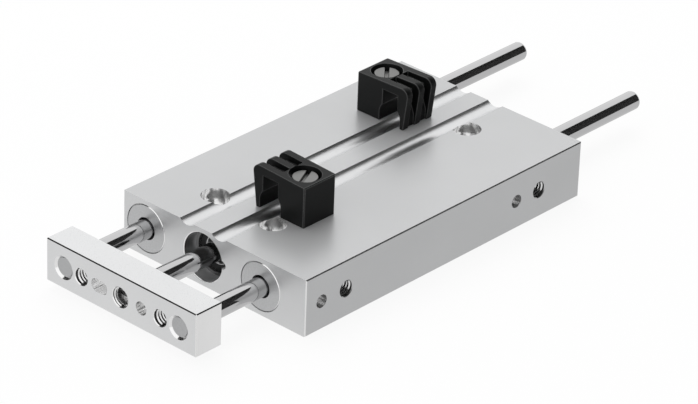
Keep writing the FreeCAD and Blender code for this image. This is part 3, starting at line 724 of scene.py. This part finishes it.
@dataclass
class Yoke:
    """What moves: yoke plate, its threads and screw, and the three rods."""

    thread_pitch: float = 0.5 * MM
    thread_radius: float = 1.25 * MM    # the core of the load's threads
    thread_inset: float = 3.6 * MM      # from a guide rod's axis to its thread's
    thread_reach: float = 1.6 * MM      # what belongs to a tapped hole, from its axis
    centre_radius: float = 1.52 * MM    # the core of the set screw's thread
    centre_pitch: float = 0.35 * MM
    screw_sink: float = 0.4 * MM        # how much deeper the set screw's face stands
    screw_edge: float = 0.05 * MM       # rounding on the set screw
    pin_reach: float = 7.0 * MM         # what belongs to the locating holes, from the middle
    edge_reach: float = 0.2 * MM        # what belongs to the plate's top edges
    tip_round: float = 0.35 * MM        # rounding on the guide rods' rear ends
    tail_radius: float = 1.0 * MM       # of the piston rod, inside the piston
    stop_gap: float = 0.03 * MM         # between piston and end cap, fully in

    def build(self) -> None:
        """Make the yoke's pieces."""
        self._plate()
        self._threads()
        for side in ("left", "right"):
            self._guide_rod(side)
        self._piston_rod()
        self._piston_half()
        self._set_screw()

    def _plate(self) -> None:
        """The plate that joins the rods."""
        plate = copy_node("yoke_plate", "yoke_plate_block")
        smooth(plate)
        low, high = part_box("yoke_plate")
        dress(plate, PLATE_BRIGHT)
        # Painted light on the front and rear faces.
        dress_faces(plate, PLATE_FACE_PAINTED_LIGHT, lambda face: abs(face.normal.x) > FACING)
        # Painted light on the sides.
        dress_faces(plate, PLATE_SIDE_PAINTED_LIGHT, lambda face: abs(face.normal.y) > FACING)
        # Painted highlight on the plate's front bevels.
        dress_faces(plate, EDGE_PAINTED_HIGHLIGHT, lambda face: SLOPING < face.normal.x < FACING)
        places, z = self._thread_places().values(), middle("guide_rod_left").z

        def tapped(point: Vector) -> bool:
            """Whether a point lies in one of the tapped holes."""
            return any(math.hypot(point.y - y, point.z - z) < self.thread_reach
                       for y in places)

        # Painted shade at the roots of the plate's tapped holes.
        dress_faces(plate, HOLE_PAINTED_SHADE, lambda face: (
            abs(face.normal.x) < LEVEL and tapped(face.center)))
        # Painted highlight on the walls of the locating holes.
        dress_faces(plate, HOLE_PAINTED_HIGHLIGHT, lambda face: (
            abs(face.normal.x) < LEVEL and not tapped(face.center)
            and abs(face.center.y) < self.pin_reach
            and abs(face.center.z - (low.z + high.z) / 2) < self.thread_radius))
        # Painted reflection: the top edges' bevels are dark.
        dress_faces(plate, PLATE_EDGE_PAINTED_REFLECTION, lambda face: (
            face.center.z > high.z - self.edge_reach
            and HALFWAY[0] < face.normal.z < HALFWAY[1]
            and max(face.normal.x, face.normal.y) > HALFWAY[0]))
        seat(plate, YOKE_BODY, "bright_aluminium", "yoke_plate")

    def _thread_places(self) -> dict[str, float]:
        """Where across the plate the tapped holes stand.

        Returns:
            The place along Y for each hole.
        """
        places = {"centre": 0.0}
        for side in ("left", "right"):
            y = middle(f"guide_rod_{side}").y
            places[side] = y - math.copysign(self.thread_inset, y)
        return places

    def _threads(self) -> None:
        """The two threads for the load, and the set screw's in the middle."""
        low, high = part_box("yoke_plate")
        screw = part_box("yoke_set_screw")[1]
        z = middle("guide_rod_left").z
        for side, y in self._thread_places().items():
            pitch, radius = self.thread_pitch, self.thread_radius
            start = low.x + pitch
            if side == "centre":
                pitch, radius = self.centre_pitch, self.centre_radius
                start = screw.x - self.screw_sink + pitch / 2
            ridge = thread(f"yoke_thread_{side}", Axis.X, Vector((start, y, z)),
                           high.x - start - pitch, radius, pitch)
            dress(ridge, THREAD_BRIGHT)
            seat(ridge, YOKE_BODY, "bright_aluminium")

    def _guide_rod(self, side: str) -> None:
        """One polished guide rod with a rounded rear end.

        Args:
            side: Which rod, left or right.
        """
        node = f"guide_rod_{side}"
        length, radius, tip = length_of(node), radius_of(node), self.tip_round
        rod = lathe(f"{node}_polished", [
            (0.0, radius), (-(length - tip), radius),
            (-(length - tip + tip * SIN_45), radius - tip * (1 - SIN_45)),
            (-length, radius - tip)], Axis.X, front_of(node))
        smooth(rod, ROUNDED_CREASE)
        dress(rod, STEEL_POLISHED)
        dress_faces(rod, STEEL_FACED, lambda face: abs(face.normal.x) > FACING)
        seat(rod, YOKE_BODY, "polished_steel", node)

    def _piston_rod(self) -> None:
        """The piston rod with the thin tail that carries the piston."""
        low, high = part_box("piston_rod")
        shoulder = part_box("piston_front_half")[1].x - high.x
        radius, tail = radius_of("piston_rod"), self.tail_radius
        rod = lathe("piston_rod_polished", [
            (0.0, radius), (shoulder, radius), (shoulder, tail), (low.x - high.x, tail)],
            Axis.X, front_of("piston_rod"))
        smooth(rod)
        dress(rod, STEEL_POLISHED)
        seat(rod, YOKE_BODY, "polished_steel", "piston_rod")

    def _piston_half(self) -> None:
        """The piston's rear half, a hair short of the end cap that stops it."""
        half = copy_node("piston_rear_half", "piston_rear_half_turned")
        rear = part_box("piston_rear_half")[0].x + self.stop_gap
        shift_points(half, lambda x: x < rear, self.stop_gap)
        smooth(half)
        dress(half, PLATE_BRIGHT)
        seat(half, YOKE_BODY, "bright_aluminium", "piston_rear_half")

    def _set_screw(self) -> None:
        """The slotted screw that locks the piston rod."""
        screw = copy_node("yoke_set_screw", "yoke_set_screw_slotted")
        low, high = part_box("yoke_set_screw")
        shift_points(screw, lambda x: x > (low.x + high.x) / 2, -self.screw_sink)
        round_edges(screw, self.screw_edge)
        smooth(screw)
        dress(screw, SET_SCREW)
        seat(screw, YOKE_BODY, "screw_steel", "yoke_set_screw")


@dataclass
class SensorBrackets:
    """The two clip brackets with their slotted screws."""

    edge: float = 0.12 * MM         # rounding on a bracket
    edge_angle: float = 35.0        # its edges sharper than this are rounded, in degrees
    screw_edge: float = 0.16 * MM   # rounding on a screw
    screw_angle: float = 60.0       # its edges sharper than this are rounded, in degrees

    def build(self) -> None:
        """Make both brackets."""
        for end in ("front", "rear"):
            self._bracket(end)
            self._screw(end)

    def _bracket(self, end: str) -> None:
        """One moulded bracket with softly rounded edges.

        Args:
            end: Which end of the housing, front or rear.
        """
        node = f"sensor_bracket_{end}"
        bracket = copy_node(node, f"{node}_moulded")
        dress(bracket, BRACKET_BLACK)
        # Painted highlight on the rounded edges.
        bracket.data.materials.append(BRACKET_EDGE_PAINTED_HIGHLIGHT.material())
        round_edges(bracket, self.edge, self.edge_angle, slot=1)
        smooth(bracket, ROUNDED_CREASE)
        seat(bracket, HOUSING_BODY, "black_plastic", node)

    def _screw(self, end: str) -> None:
        """One bracket screw.

        Args:
            end: Which end of the housing, front or rear.
        """
        node = f"bracket_screw_{end}"
        screw = copy_node(node, f"{node}_slotted")
        round_edges(screw, self.screw_edge, self.screw_angle)
        smooth(screw)
        dress(screw, SCREW_ZINC)
        seat(screw, HOUSING_BODY, "screw_steel", node)


# ---------------------------------------------------------------- studio


def matt(name: str, tone: float) -> bpy.types.Material:
    """Make a matt grey material.

    Args:
        name: The material's name.
        tone: Its grey, from 0 to 1.

    Returns:
        The node material.
    """
    material = bpy.data.materials.new(name)
    material.use_nodes = True
    shader = material.node_tree.nodes["Principled BSDF"]
    shader.inputs["Base Color"].default_value = (tone, tone, tone, 1.0)
    shader.inputs["Roughness"].default_value = MATT_ROUGHNESS
    return material


def seen_rays(nodes: bpy.types.Nodes, links: bpy.types.NodeLinks,
              seen: float) -> bpy.types.NodeSocket:
    """Make a factor: one for glossy and transmission rays, less for camera rays, else zero.

    Args:
        nodes: The node tree's nodes.
        links: The node tree's links.
        seen: The factor for camera rays.

    Returns:
        The socket that holds the factor.
    """
    path = nodes.new("ShaderNodeLightPath")
    share = nodes.new("ShaderNodeMath")
    share.operation = "MULTIPLY"
    share.inputs[1].default_value = seen
    links.new(path.outputs["Is Camera Ray"], share.inputs[0])
    total = share.outputs["Value"]
    for ray in ("Is Glossy Ray", "Is Transmission Ray"):
        both = nodes.new("ShaderNodeMath")
        both.operation = "MAXIMUM"
        links.new(total, both.inputs[0])
        links.new(path.outputs[ray], both.inputs[1])
        total = both.outputs["Value"]
    return total


@dataclass(frozen=True)
class Lamp:
    """A soft square lamp that looks at the object and isn't mirrored."""

    name: str
    place: tuple[float, float, float]   # in metres
    size: float                         # length of its side, in metres
    power: float                        # in watts

    def build(self, target: Vector) -> None:
        """Hang the lamp.

        Args:
            target: The point that it looks at.
        """
        data = bpy.data.lights.new(self.name, "AREA")
        data.size, data.energy = self.size, self.power
        lamp = bpy.data.objects.new(self.name, data)
        bpy.context.scene.collection.objects.link(lamp)
        lamp.location = self.place
        lamp.rotation_mode = "QUATERNION"
        lamp.rotation_quaternion = (target - Vector(self.place)).to_track_quat("-Z", "Y")
        lamp.visible_glossy = False


@dataclass(frozen=True)
class Card:
    """A dark card beside the object, which only shows in gloss."""

    name: str
    place: tuple[float, float, float]   # its middle, in metres
    size: tuple[float, float]           # its width and height, in metres
    heading: float                      # direction of its width from +X, in degrees
    lean: float                         # 90 degrees is upright, more leans over
    tone: float = 0.02

    def build(self) -> None:
        """Stand the card up."""
        bpy.ops.mesh.primitive_plane_add(size=1.0, location=self.place)
        card = bpy.context.active_object
        card.name = self.name
        card.scale = (*self.size, 1.0)
        card.rotation_euler = (math.radians(self.lean), 0.0, math.radians(self.heading))
        settle(card)
        card.data.materials.append(matt(self.name, self.tone))
        card.visible_camera = card.visible_diffuse = card.visible_shadow = False
        card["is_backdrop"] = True


@dataclass
class Studio:
    """Pale floor, soft light, three dark cards for the metal to mirror, and the camera."""

    target: tuple[float, float, float] = (-27.06 * MM, 3.38 * MM, 4.6 * MM)
    azimuth: float = 131.94         # where the camera stands round the object, in degrees
    elevation: float = 29.01        # how high it stands, in degrees
    roll: float = 2.142             # its turn about its line of sight, in degrees
    distance: float = 597.3 * MM
    lens: float = 210.1             # focal length, in millimetres
    clip: tuple[float, float] = (0.05, 20.0)    # the nearest and farthest it sees, in metres
    floor_size: float = 12.0        # length of its side, in metres
    floor_colour: float = 0.90
    floor_glow: float = 0.90        # how much of the glow the camera sees
    floor_gloss: float = 0.74       # strength of the glow in what mirrors the floor
    sky_strength: float = 0.62      # of the light on matt surfaces
    lamps: tuple[Lamp, ...] = (
        Lamp("softbox_top", (-0.30, -0.35, 0.85), 0.9, 5.0),
        Lamp("softbox_front", (0.75, -0.10, 0.45), 0.6, 1.5),
    )
    cards: tuple[Card, ...] = (
        Card("dark_card_side", (-0.55, 0.42, 0.275), (1.8, 0.55), 0.0, 90.0),
        Card("dark_card_roof", (-0.55, 0.255, 0.665), (1.8, 0.41), 0.0, 145.0),
        Card("dark_card_front", (0.21, -0.50, 0.29), (0.50, 0.58), 29.7, 90.0),
    )

    def build(self) -> None:
        """Set the whole studio up."""
        self._camera()
        self._sky()
        self._floor()
        for lamp in self.lamps:
            lamp.build(Vector(self.target))
        for card in self.cards:
            card.build()
        bpy.context.scene.view_settings.view_transform = "Standard"

    def _camera(self) -> None:
        """A long lens at the object's three-quarter view."""
        turn, rise = math.radians(self.azimuth), math.radians(self.elevation)
        back = Vector((math.sin(turn) * math.cos(rise), -math.cos(turn) * math.cos(rise),
                       math.sin(rise)))
        data = bpy.data.cameras.new("camera")
        data.lens = self.lens
        data.clip_start, data.clip_end = self.clip
        camera = bpy.data.objects.new("camera", data)
        bpy.context.scene.collection.objects.link(camera)
        camera.location = Vector(self.target) + back * self.distance
        camera.rotation_mode = "QUATERNION"
        camera.rotation_quaternion = (-back).to_track_quat("-Z", "Y") @ Quaternion(
            Axis.Z.vector, math.radians(self.roll))
        bpy.context.scene.camera = camera

    def _sky(self) -> None:
        """A white surrounding that lights softly."""
        world = bpy.data.worlds.new("studio_sky")
        bpy.context.scene.world = world
        world.use_nodes = True
        nodes, links = world.node_tree.nodes, world.node_tree.links
        nodes.clear()
        soft, white = nodes.new("ShaderNodeBackground"), nodes.new("ShaderNodeBackground")
        soft.inputs["Strength"].default_value = self.sky_strength
        for shade in (soft, white):
            shade.inputs["Color"].default_value = WHITE
        blend, out = nodes.new("ShaderNodeMixShader"), nodes.new("ShaderNodeOutputWorld")
        links.new(seen_rays(nodes, links, 1.0), blend.inputs["Fac"])
        links.new(soft.outputs["Background"], blend.inputs[1])
        links.new(white.outputs["Background"], blend.inputs[2])
        links.new(blend.outputs["Shader"], out.inputs["Surface"])

    def _floor(self) -> None:
        """A white floor that keeps a light shadow."""
        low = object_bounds()[0]
        bpy.ops.mesh.primitive_plane_add(size=self.floor_size, location=(0.0, 0.0, low.z))
        floor = bpy.context.active_object
        floor.name = "floor"
        material = matt("floor_white", self.floor_colour)
        nodes, links = material.node_tree.nodes, material.node_tree.links
        shader, out = nodes["Principled BSDF"], nodes["Material Output"]
        glow, blend = nodes.new("ShaderNodeEmission"), nodes.new("ShaderNodeMixShader")
        glow.inputs["Color"].default_value = WHITE
        path, dim = nodes.new("ShaderNodeLightPath"), nodes.new("ShaderNodeMapRange")
        dim.inputs["To Min"].default_value = self.floor_gloss
        links.new(path.outputs["Is Camera Ray"], dim.inputs["Value"])
        links.new(dim.outputs["Result"], glow.inputs["Strength"])
        links.new(seen_rays(nodes, links, self.floor_glow), blend.inputs["Fac"])
        links.new(shader.outputs["BSDF"], blend.inputs[1])
        links.new(glow.outputs["Emission"], blend.inputs[2])
        links.new(blend.outputs["Shader"], out.inputs["Surface"])
        floor.data.materials.append(material)
        floor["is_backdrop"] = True


def dress_nodes() -> None:
    """Give every CAD node that still shows its own finish."""
    for node, finish in NODE_FINISH.items():
        dress(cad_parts[node], finish)


def main() -> None:
    """Build the guided cylinder round the CAD frame, then the studio."""
    logging.basicConfig(level=logging.INFO, format="%(message)s")
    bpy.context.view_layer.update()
    for assembly in (Housing(), Yoke(), SensorBrackets()):
        assembly.build()
    dress_nodes()
    Studio().build()


if __name__ == "__main__":
    main()
